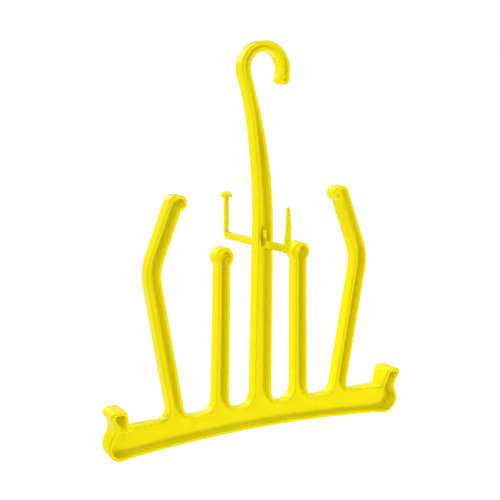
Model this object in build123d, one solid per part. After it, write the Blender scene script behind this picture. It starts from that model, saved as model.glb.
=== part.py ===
from build123d import *
import math
import os

# Sizes are in millimetres. X runs along the bar, Z is up and the front faces -Y.
# While drawing, widths are measured from the stem's foot and heights from the bar's lower edge at
# mid-length. At the end the part is moved so that the centre of the hook's bore is the origin.

# Section of the moulding: a rim round the outline with a web half way through
thickness = 16.0
web = 3.0
rim = 3.8
rim_round = 2.0
mouth_round = 0.7

# Coves along the web: in the bar, in the limbs and in the hook
bar_cove = 5.5
limb_cove = 3.2
hook_cove = 1.3

# The recess gets shallower up the bowed stem and stays shallow round the hook
ramp_low = 296.0
ramp_high = 362.0
hook_depth = 2.4

# Hook: bore, band and the bead that ends it
bore_radius = 18.4
hook_band = 11.0
hook_x = 1.5
hook_z = 390.0
hook_end_angle = -23.0
hook_bead = 0.9

# Stem: straight foot, then a bow to the left that runs into the hook's band
foot_half = 11.1
stem_left = -7.2
stem_left_z = 228.0
stem_right = 11.5
stem_right_z = 205.0
bow_left = -11.2
bow_left_z = 305.0
bow_right = 4.2
bow_right_z = 303.0
band_out_angle = 201.0
band_in_angle = 196.0

# Bar with an ear at each end. The ear's inner foot sets where the bar ends, and the ear's outline
# goes on from there: top edge, turn of the tip, neck, and the bulge down to the bar's corner.
bar_top = 25.6
bar_drop = 9.3
ear_foot_x = 158.0
ear_height = 21.9
ear_lean = 4.6
ear_top_width = 11.9
tip_out = 4.5
tip_down = 9.7
neck_in = 0.8
neck_down = 18.8
right_corner_out = 13.4
right_corner_round = 14.0
left_corner_out = 9.8
left_corner_round = 15.0
ear_inner_round = 5.0
ear_foot_round = 2.5

# The ears are deeper than the bar: they flare towards the front, and more so with height
flare_foot = 2.0
flare_top = 12.0
flare_before = 8.0
flare_after = 8.0

# Short inner arms with a round knob
knob_x = 47.3
knob_z = 193.4
knob_radius = 11.0
knob_blend = 6.0
inner_foot_in = 41.6
inner_foot_out = 58.4
inner_neck_half = 7.1

# Long outer arms: up and outward, a bend, then inward to a beaded tip
outer_width = 16.3
outer_foot_x = 99.3
bend_x = 129.4
bend_z = 183.7
bend_radius = 53.0
tip_lean = 21.2
reach_left = 74.6
reach_right = 78.0
tip_bead = 4.2

# Blends where stem and arms grow out of the bar, and beside the beads
foot_blend = 14.6
arm_blend = 13.5
outer_blend = 10.0
bead_blend = 3.0

# Pegs fore and aft of the stem: a flat arm each
peg_x = 2.1
peg_z = 199.8
peg_width = 4.6
peg_tall = 8.4
peg_round = 1.4

# Rib in the stem's recess that stays the pegs from above
rib_height = 12.6
rib_sink = 2.4

# Back peg: post with a round head
post_y = 85.4
post_depth = 6.2
elbow_round = 8.0
post_height = 48.4
head_radius = 6.8
head_skirt = 0.4

# Front peg: tapering finger
finger_lift = 1.0
finger_y = 51.3
finger_depth = 10.5
finger_bow = 2.5
finger_mid_width = 4.2
finger_mid_depth = 7.5
finger_lean = 1.3
finger_height = 47.7
finger_tip_width = 3.2
finger_tip_depth = 4.2
finger_tip_round = 1.1

# Places that follow from the sizes
root_z = bar_top / 2
ear_top_x = ear_foot_x + ear_lean
ear_top_z = bar_top + ear_height
ear_tip_x = ear_top_x + ear_top_width
ear_turn_x = ear_tip_x + tip_out
ear_turn_z = ear_top_z - tip_down
ear_neck_x = ear_turn_x - neck_in
ear_neck_z = ear_turn_z - neck_down
right_end = ear_foot_x + right_corner_out
left_end = ear_foot_x + left_corner_out
flare_start = ear_foot_x - flare_before
flare_end = ear_foot_x + flare_after
peg_top = peg_z + peg_tall
head_z = peg_z + post_height
finger_low = peg_z + finger_lift
finger_z = finger_low + finger_height
half_thick = thickness / 2
outer_radius = bore_radius + hook_band
bead_radius = hook_band / 2 + hook_bead

# A cove is limited by the narrowest limb, and the corners inside the rim suit the cove
limb = min(inner_foot_out - inner_foot_in, 2 * inner_neck_half, outer_width, bow_right - bow_left)
limb_round = min(limb_cove, 0.46 * (limb - 2 * rim))
hook_round = min(hook_cove, 0.4 * (hook_band - 2 * rim))
corner_share = 1.04


def corner(face, x, z):
    # The corner of a flat outline nearest to a given place.
    return face.vertices().sort_by_distance((x, z, 0))[0]


def stem_face(inset):
    # Stem and hook as one closed outline, drawn smaller by the inset all round. The bead that ends
    # the hook carries on smoothly from the bore and stands out from the crown.
    centre = (hook_x, hook_z)
    crown_radius = outer_radius - inset
    reach = bore_radius + bead_radius
    share = (crown_radius ** 2 + reach ** 2 - (bead_radius - inset) ** 2) / (2 * crown_radius * reach)
    crown_end = hook_end_angle + math.degrees(math.acos(share))
    bore = CenterArc(centre, bore_radius + inset, band_in_angle, hook_end_angle - band_in_angle)
    crown = CenterArc(centre, crown_radius, band_out_angle, crown_end - band_out_angle)
    bead = TangentArc(bore @ 1, crown @ 1, tangent=bore % 1)
    right_foot = Line((foot_half - inset, root_z), (stem_right - inset, stem_right_z))
    left_foot = Line((inset - foot_half, root_z), (stem_left + inset, stem_left_z))
    right_bow = Spline(
        [right_foot @ 1, (bow_right - inset, bow_right_z), bore @ 0],
        tangents=[right_foot % 1, bore % 0],
    )
    left_bow = Spline(
        [left_foot @ 1, (bow_left + inset, bow_left_z), crown @ 0],
        tangents=[left_foot % 1, crown % 0],
    )
    foot = Line(left_foot @ 0, right_foot @ 0)
    face = make_face([right_foot, right_bow, bore, bead, crown, left_bow, left_foot, foot])
    notch = crown @ 1
    return fillet(corner(face, notch.X, notch.Y), bead_blend + inset)


def inner_face(inset):
    # Right inner arm with its knob.
    neck = inner_neck_half - inset
    face = make_face(Polyline(
        (inner_foot_in + inset, root_z), (inner_foot_out - inset, root_z),
        (knob_x + neck, knob_z), (knob_x - neck, knob_z), close=True,
    ))
    face = face + Pos(knob_x, knob_z) * Circle(knob_radius - inset)
    drop = math.sqrt((knob_radius - inset) ** 2 - neck ** 2)
    for side in (-1, 1):
        face = fillet(corner(face, knob_x + side * neck, knob_z - drop), knob_blend + inset)
    return face


def outer_face(reach, inset):
    # Right outer arm: a bent strip whose round end carries a bead on its inner side.
    lean = math.radians(tip_lean)
    width = outer_width - 2 * inset
    end_x = bend_x - reach * math.sin(lean)
    end_z = bend_z + reach * math.cos(lean)
    axis = FilletPolyline((outer_foot_x, root_z), (bend_x, bend_z), (end_x, end_z), radius=bend_radius)
    face = trace(axis, width) + Pos(end_x - tip_bead / 2, end_z) * SlotCenterToCenter(tip_bead, width)
    return fillet(corner(face, end_x - width / 2, end_z - width / 2), bead_blend + inset)


def half_bar(end_x, turn):
    # One half of the bar with its ear, out to a given end and with a given turn of its lower corner.
    # The lower edge is part of one arch, whichever half it is.
    end_z = -bar_drop * (end_x / right_end) ** 2
    lower = TangentArc((0, 0), (end_x, end_z), tangent=(1, 0))
    tip = TangentArc((ear_tip_x, ear_top_z), (ear_turn_x, ear_turn_z), tangent=(1, 0))
    neck = TangentArc(tip @ 1, (ear_neck_x, ear_neck_z), tangent=tip % 1)
    bulge = TangentArc(neck @ 1, lower @ 1, tangent=neck % 1)
    upper = Polyline(
        (ear_tip_x, ear_top_z), (ear_top_x, ear_top_z), (ear_foot_x, bar_top), (0, bar_top), (0, 0)
    )
    half = make_face([lower, bulge, neck, tip, upper])
    half = fillet(corner(half, end_x, end_z), turn)
    half = fillet(corner(half, ear_top_x, ear_top_z), ear_inner_round)
    return fillet(corner(half, ear_foot_x, bar_top), ear_foot_round)


def bar_face(inset, turn):
    # Bar and ears. Inside the rim no corner turns tighter than given.
    left = half_bar(left_end, left_corner_round)
    face = half_bar(right_end, right_corner_round) + mirror(left, Plane.YZ)
    if inset > 0:
        face = offset(offset(face, -inset - turn), turn)
    return face


def whole_face(inset):
    # The complete outline, with blends where stem and arms grow out of the bar.
    inner = inner_face(inset)
    face = bar_face(inset, corner_share * limb_round) + stem_face(inset) + inner + mirror(inner, Plane.YZ)
    face = face + outer_face(reach_right, inset) + mirror(outer_face(reach_left, inset), Plane.YZ)
    level = bar_top - inset
    half = outer_width / 2 - inset
    for side in (-1, 1):
        face = fillet(corner(face, side * (foot_half - inset), level), foot_blend + inset)
        face = fillet(corner(face, side * (inner_foot_in + inset), level), foot_blend + inset)
        face = fillet(corner(face, side * (inner_foot_out - inset), level), arm_blend + inset)
        face = fillet(corner(face, side * (outer_foot_x - half), level), arm_blend + inset)
        face = fillet(corner(face, side * (outer_foot_x + half), level), outer_blend + inset)
    return face


# Body: the outline as a slab whose ears reach further forward. What stands in front of the bar's face
# and of the flaring ears is cut away.
outline = whole_face(0)
plan_x = ear_turn_x + thickness
deep = half_thick + flare_top + thickness
top_z = hook_z + outer_radius
body = extrude(Plane.XZ.offset(-half_thick) * outline, thickness + flare_top + flare_foot)
clear = Pos(0, -half_thick - deep / 2, top_z / 2) * Box(2 * flare_start, deep, 2 * top_z)


def flare_plan(flare):
    # What lies in front of an ear at one height: an S-curve leads from the bar's face to the ear's.
    face_y = -half_thick - flare
    curve = Spline([(flare_start, -half_thick), (flare_end, face_y)], tangents=[(1, 0), (1, 0)])
    rest = Polyline(curve @ 1, (plan_x, face_y), (plan_x, -deep), (flare_start, -deep), curve @ 0)
    return make_face([curve, rest])


ear_clear = loft([
    Pos(0, 0, -bar_drop) * flare_plan(flare_foot),
    Pos(0, 0, ear_top_z) * flare_plan(flare_top),
])
body = body - clear - ear_clear - mirror(ear_clear, Plane.YZ)

# Rounded rim: one run of edges round the back, one round the front
back_face = body.faces().sort_by(Axis.Y)[-1]
front_face = body.faces().filter_by(Axis.Y).filter_by_position(Axis.Y, -half_thick, -half_thick)[0]
front_run = [e for e in front_face.edges() if abs(e.center().X) < flare_start - 1]
body = fillet(back_face.edges() + front_run, rim_round)


def window(x_low, x_high, z_low, z_high):
    # A rectangle between two widths and two heights.
    return Pos((x_low + x_high) / 2, (z_low + z_high) / 2) * Rectangle(x_high - x_low, z_high - z_low)


# Recess inside the rim, front and back, in stretches: the bar with its large cove, then the limbs and
# the ears' horns. The two overlap half way up the bar, where the web is flat.
start = bar_top / 3
limbs = whole_face(rim) & window(-plan_x, plan_x, start, ramp_low)
stretches = ((bar_face(rim, corner_share * bar_cove), bar_cove), (limbs, limb_round))
cutters = []
for area, radius in stretches:
    cutter = extrude(Plane.XZ.offset(web / 2) * area, 2 * thickness)
    cutters.append(fillet(cutter.faces().sort_by(Axis.Y)[-1].edges(), radius))

# Up the bowed stem the floor of the recess climbs along a ramp, and the hook's recess stays shallow
hook_floor = half_thick - hook_depth
climb = Spline([(-web / 2, ramp_low), (-hook_floor, ramp_high)], tangents=[(0, 1), (0, 1)])
ramp = make_face([
    climb,
    Polyline(climb @ 1, (-hook_floor, 2 * top_z), (0, 2 * top_z), (0, 0), (-web / 2, 0), climb @ 0),
])
ramp = extrude(Plane.YZ * ramp, plan_x, both=True)
upper = extrude(Plane.XZ * (stem_face(rim) & window(-plan_x, plan_x, ramp_low - rim, top_z)), 2 * thickness)
upper = upper - ramp
floor_edges = [e for e in upper.edges() if e.center().Y > -hook_floor - 0.01]
cutters.append(fillet(floor_edges, hook_round))
plain = body
for cutter in cutters:
    body = body - cutter - mirror(cutter, Plane.XZ)
mouth = [
    e for e in new_edges(plain, combined=body)
    if abs(e.center().Y) > half_thick - mouth_round and abs((e % 0.5).Y) < 0.9
]
body = fillet(mouth, mouth_round)

# Rib above the pegs, front and back, as wide as their arms
rib_top = peg_top + rib_height
rib_low = peg_z + peg_tall / 2
rib_deep = thickness - 2 * rib_sink
rib = Pos(peg_x, 0, (rib_low + rib_top) / 2) * Box(peg_width, rib_deep, rib_top - rib_low)
rib = fillet(rib.faces().sort_by(Axis.Z)[-1].edges().filter_by(Axis.X), peg_round)
rib = fillet(rib.edges().filter_by(Axis.Z), peg_round / 2)

# Back peg: a flat arm that turns up into a post with a round head
peg_mid = peg_z + peg_tall / 2
post_back = post_y + post_depth / 2
post_front = post_y - post_depth / 2
elbow = make_face(Polyline(
    (0, peg_z), (post_back, peg_z), (post_back, head_z),
    (post_front, head_z), (post_front, peg_top), (0, peg_top), close=True,
))
elbow = fillet(corner(elbow, post_back, peg_z), elbow_round)
elbow = fillet(corner(elbow, post_front, peg_top), peg_round)
back_peg = extrude(Plane.YZ.offset(peg_x) * elbow, peg_width / 2, both=True)
back_peg = fillet(back_peg.faces().filter_by(Axis.X).edges(), peg_round)
dome = make_face([
    Polyline((0, head_skirt + head_radius), (0, 0), (head_radius, 0), (head_radius, head_skirt)),
    CenterArc((0, head_skirt), head_radius, 0, 90),
])
head = Pos(peg_x, post_y, head_z) * revolve(Plane.XZ * dome, Axis.Z)

# Front peg: a flat arm that ends in a tapering finger
arm_mid = finger_low + peg_tall / 2
front_arm = Pos(peg_x, -finger_y / 2, arm_mid) * Box(peg_width, finger_y, peg_tall)
front_arm = fillet(front_arm.edges().filter_by(Axis.Y), peg_round)
finger = loft([
    Pos(peg_x, -finger_y, finger_low) * RectangleRounded(peg_width, finger_depth, peg_round),
    Pos(peg_x, -finger_y - finger_bow, (finger_low + finger_z) / 2)
    * RectangleRounded(finger_mid_width, finger_mid_depth, peg_round),
    Pos(peg_x, -finger_y - finger_lean, finger_z)
    * RectangleRounded(finger_tip_width, finger_tip_depth, peg_round),
])
finger = fillet(finger.faces().sort_by(Axis.Z)[-1].edges(), finger_tip_round)
finger = fillet(finger.faces().sort_by(Axis.Z)[0].edges(), finger_tip_round)
body = body + rib + back_peg + head + front_arm + finger

# The hook's bore centre becomes the origin
hanger = Pos(-hook_x, 0, -hook_z) * body
os.makedirs("parts", exist_ok=True)
export_step(hanger, "parts/hanger.step")
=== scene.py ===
import math

import bpy
from mathutils import Matrix, Vector


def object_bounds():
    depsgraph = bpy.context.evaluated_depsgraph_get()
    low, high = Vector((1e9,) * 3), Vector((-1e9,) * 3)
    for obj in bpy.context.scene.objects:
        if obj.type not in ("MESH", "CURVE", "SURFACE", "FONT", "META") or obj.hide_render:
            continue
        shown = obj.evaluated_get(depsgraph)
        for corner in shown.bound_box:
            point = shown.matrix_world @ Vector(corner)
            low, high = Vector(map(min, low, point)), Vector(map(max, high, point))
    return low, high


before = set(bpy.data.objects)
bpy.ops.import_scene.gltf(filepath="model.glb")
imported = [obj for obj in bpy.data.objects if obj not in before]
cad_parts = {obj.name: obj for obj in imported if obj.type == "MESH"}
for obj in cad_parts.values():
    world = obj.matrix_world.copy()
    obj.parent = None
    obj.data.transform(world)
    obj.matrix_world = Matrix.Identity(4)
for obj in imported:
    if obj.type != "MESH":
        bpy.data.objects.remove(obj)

cad_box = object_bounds()

# The hanger
# One injection moulding: bar, ears, arms, stem, hook and both pegs come out of the mould together.
# The plastic is yellow polypropylene, glossy from a polished mould. A rim runs round every limb and
# a thin web closes the space inside it, so a cut across a limb has the shape of an H.
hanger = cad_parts["hanger"]
mm = 0.001
half_web = 1.5 * mm


def linear(code):
    """An sRGB hex colour as linear RGBA: each channel goes through the sRGB curve."""
    shares = [int(code[i:i + 2], 16) / 255 for i in (1, 3, 5)]
    return [c / 12.92 if c <= 0.04045 else ((c + 0.055) / 1.055) ** 2.4 for c in shares] + [1.0]


def add(tree, kind, settings=(), links=()):
    """Adds one node. Settings are attributes, or input values by name or number; links are
    (input, output socket)."""
    node = tree.nodes.new(kind)
    for name, value in dict(settings).items():
        if isinstance(name, int) or name in node.inputs:
            node.inputs[name].default_value = value
        else:
            setattr(node, name, value)
    for name, socket in links:
        tree.links.new(socket, node.inputs[name])
    return node


# Polypropylene, moulded in a polished tool: full yellow with an even gloss. The thin web is painted a
# little lighter than the rim: painted light, standing in for light that passes through the thin web. The
# surface is not dead flat: it sinks a little over the thicker places, so that highlights waver along the
# limbs.
plastic = bpy.data.materials.new("polypropylene_yellow_gloss_moulded")
plastic.use_nodes = True
tree = plastic.node_tree
shader = tree.nodes["Principled BSDF"]
shader.inputs["IOR"].default_value = 1.49
shader.inputs["Specular IOR Level"].default_value = 0.4
place = add(tree, "ShaderNodeTexCoord").outputs["Object"]

# Web or rim: how far a point lies from the middle of the thickness. It masks where the painted light on
# the web fades out. The cove soon leaves the web.
cove_rise = 1.1 * mm
apart = add(tree, "ShaderNodeSeparateXYZ", links=[("Vector", place)])
depth = add(tree, "ShaderNodeMath", {"operation": "ABSOLUTE"}, [(0, apart.outputs["Y"])])
rim_vs_painted_web_light = add(
    tree, "ShaderNodeMapRange",
    {"interpolation_type": "SMOOTHSTEP", "From Min": half_web, "From Max": half_web + cove_rise},
    [("Value", depth.outputs[0])],
)

# Flow of the melt: clouds a hint lighter and darker.
cloud_length = 40 * mm
flow = add(
    tree, "ShaderNodeTexNoise", {"Scale": 1 / cloud_length, "Detail": 3.0, "Roughness": 0.55},
    [("Vector", place)],
)
rim_tone = add(
    tree, "ShaderNodeMix",
    {"data_type": "RGBA", 6: linear("#f2e209"), 7: linear("#f7eb0c")},
    [(0, flow.outputs["Fac"])],
)
# Painted light: the web gets a lighter yellow than the rim, for light that passes through the thin web.
tone = add(
    tree, "ShaderNodeMix", {"data_type": "RGBA", 6: linear("#f8e90c")},
    [(0, rim_vs_painted_web_light.outputs["Result"]), (7, rim_tone.outputs[2])],
)
tree.links.new(tone.outputs[2], shader.inputs["Base Color"])

# Gloss: the polish varies in patches.
patch_length = 8 * mm
polish = add(
    tree, "ShaderNodeTexNoise", {"Scale": 1 / patch_length, "Detail": 1.0}, [("Vector", place)]
)
gloss = add(
    tree, "ShaderNodeMapRange", {"To Min": 0.09, "To Max": 0.14}, [("Value", polish.outputs["Fac"])]
)
tree.links.new(gloss.outputs["Result"], shader.inputs["Roughness"])

# Sink waves along the limbs.
wave_length = 18 * mm
wave_depth = 0.4 * mm
wave = add(
    tree, "ShaderNodeTexNoise", {"Scale": 1 / wave_length, "Detail": 1.0}, [("Vector", place)]
)
sunk = add(
    tree, "ShaderNodeBump", {"Strength": 0.3, "Distance": wave_depth}, [("Height", wave.outputs["Fac"])]
)

# Ejector pins have left a faint ring at three places along the bar's web. The ring is drawn wider and
# higher than a real one, so that it shows.
pin_spots = ((-163.7, -376.1), (-81.6, -375.9), (72.1, -376.2))
pin_radius = 3.2 * mm
ring_half_width = 0.5 * mm
ring_height = 0.6 * mm
rings = []
for x, z in pin_spots:
    offset = add(
        tree, "ShaderNodeVectorMath", {"operation": "SUBTRACT", 1: (x * mm, -half_web, z * mm)},
        [(0, place)],
    )
    distance = add(
        tree, "ShaderNodeVectorMath", {"operation": "LENGTH"}, [(0, offset.outputs["Vector"])]
    )
    ring = add(
        tree, "ShaderNodeMath", {"operation": "COMPARE", 1: pin_radius, 2: ring_half_width},
        [(0, distance.outputs["Value"])],
    )
    rings.append(ring.outputs[0])
marks = rings[0]
for ring in rings[1:]:
    marks = add(tree, "ShaderNodeMath", {"operation": "MAXIMUM"}, [(0, marks), (1, ring)]).outputs[0]
marked = add(
    tree, "ShaderNodeBump", {"Strength": 1.0, "Distance": ring_height},
    [("Height", marks), ("Normal", sunk.outputs["Normal"])],
)
tree.links.new(marked.outputs["Normal"], shader.inputs["Normal"])

for slot in hanger.material_slots:
    slot.material = plastic

# The studio
# A floor of white card under a white surround. The hanger is shown upright, as it hangs from a rail,
# high above the floor. Its reflections leave the floor out and show the surround alone.
scene = bpy.context.scene
floor_half = 6.0
floor_drop = 1.9
floor_z = cad_box[0].z - floor_drop
floor_corners = [
    (x * floor_half, y * floor_half, floor_z) for x, y in ((-1, -1), (1, -1), (1, 1), (-1, 1))
]
floor_mesh = bpy.data.meshes.new("floor")
floor_mesh.from_pydata(floor_corners, [], [(0, 1, 2, 3)])
floor = bpy.data.objects.new("floor", floor_mesh)
scene.collection.objects.link(floor)
floor.visible_glossy = False

# Matt white card: it takes the shadow, and its own glow brings it up to white where the camera looks.
card_glow = 0.62
card = bpy.data.materials.new("card_white_matt")
card.use_nodes = True
tree = card.node_tree
shader = tree.nodes["Principled BSDF"]
shader.inputs["Base Color"].default_value = linear("#e6e6e6")
shader.inputs["Roughness"].default_value = 0.9
shader.inputs["Specular IOR Level"].default_value = 0.0
shader.inputs["Emission Color"].default_value = linear("#ffffff")
path = add(tree, "ShaderNodeLightPath")
glow = add(
    tree, "ShaderNodeMath", {"operation": "MULTIPLY", 1: card_glow}, [(0, path.outputs["Is Camera Ray"])]
)
tree.links.new(glow.outputs[0], shader.inputs["Emission Strength"])
floor_mesh.materials.append(card)

# The surround is white for the camera and dimmer for the light on the hanger. Reflections show a panel
# straight behind the hanger, as the camera looks, which is white below the horizon and grey above it,
# and a dark room elsewhere.
room_light = 0.55
room_dark = 0.02
panel_low = 0.85
panel_high = 0.30
behind = (0.48, 0.877, 0.0)
world = bpy.data.worlds.new("studio")
scene.world = world
world.use_nodes = True
tree = world.node_tree
background = tree.nodes["Background"]
background.inputs["Color"].default_value = linear("#ffffff")
path = add(tree, "ShaderNodeLightPath")
sight = add(
    tree, "ShaderNodeMath", {"operation": "MAXIMUM"},
    [(0, path.outputs["Is Camera Ray"]), (1, path.outputs["Is Transmission Ray"])],
)
surround = add(
    tree, "ShaderNodeMath", {"operation": "MULTIPLY_ADD", 1: 1 - room_light, 2: room_light},
    [(0, sight.outputs[0])],
)
heading = add(tree, "ShaderNodeTexCoord").outputs["Generated"]
ahead = add(tree, "ShaderNodeVectorMath", {"operation": "DOT_PRODUCT", 1: behind}, [(0, heading)])
rise = add(tree, "ShaderNodeSeparateXYZ", links=[("Vector", heading)])
panel = add(
    tree, "ShaderNodeMapRange",
    {
        "interpolation_type": "SMOOTHSTEP", "From Min": -0.25, "From Max": 0.05,
        "To Min": panel_low, "To Max": panel_high,
    },
    [("Value", rise.outputs["Z"])],
)
mirrored = add(
    tree, "ShaderNodeMapRange",
    {"interpolation_type": "SMOOTHSTEP", "From Min": 0.5, "From Max": 0.95, "To Min": room_dark},
    [("Value", ahead.outputs["Value"]), ("To Max", panel.outputs["Result"])],
)
strength = add(
    tree, "ShaderNodeMix", {"data_type": "FLOAT"},
    [(0, path.outputs["Is Glossy Ray"]), (2, surround.outputs[0]), (3, mirrored.outputs["Result"])],
)
tree.links.new(strength.outputs[0], background.inputs["Strength"])

# Soft boxes: where each one stands, its side in metres, its watts and whether reflections show it. The
# key, behind on the left, lights the left sides of the limbs and leaves the recess's right wall dark.
# One overhead lights the tops, and a low fill in front on the right lights the webs. The other three
# draw the highlights along the rounded edges.
aim = Vector((-0.01, 0, -0.20))
boxes = {
    "box_left": ((-2.05, 1.45, -0.80), 1.2, 36.0, False),
    "box_back": ((-0.41, 1.74, 0.70), 0.8, 2.4, True),
    "box_top": ((0.10, 0.50, 1.70), 0.6, 22.0, False),
    "box_over": ((0.62, -0.14, 1.03), 0.35, 2.0, True),
    "box_front": ((-1.88, -1.13, 0.71), 1.1, 11.0, True),
    "box_fill": ((1.44, -1.98, -1.91), 0.9, 46.0, False),
}
for name, (spot, side, watts, mirrors) in boxes.items():
    lamp = bpy.data.lights.new(name, "AREA")
    lamp.shape = "SQUARE"
    lamp.size = side
    lamp.energy = watts
    box = bpy.data.objects.new(name, lamp)
    scene.collection.objects.link(box)
    box.visible_glossy = mirrors
    turn = (aim - Vector(spot)).to_track_quat("-Z", "Y").to_matrix().to_4x4()
    box.matrix_world = Matrix.Translation(spot) @ turn

# The camera
# It stands in front on the left, just below the hook, and looks slightly down. Its lens and its place
# are the ones that the hanger's own edges gave.
camera = bpy.data.objects.new("camera", bpy.data.cameras.new("camera"))
scene.collection.objects.link(camera)
scene.camera = camera
camera.data.sensor_width = 36.0
camera.data.lens = 64.864
camera.data.clip_start = 0.05
camera.data.clip_end = 50.0
stand = Vector((-0.47690, -0.83978, -0.04938))
target = Vector((-0.01470, 0.0, -0.19149))
roll = math.radians(0.274)
turn = (target - stand).to_track_quat("-Z", "Y").to_matrix().to_4x4()
camera.matrix_world = Matrix.Translation(stand) @ turn @ Matrix.Rotation(roll, 4, "Z")

scene.view_settings.view_transform = "Standard"
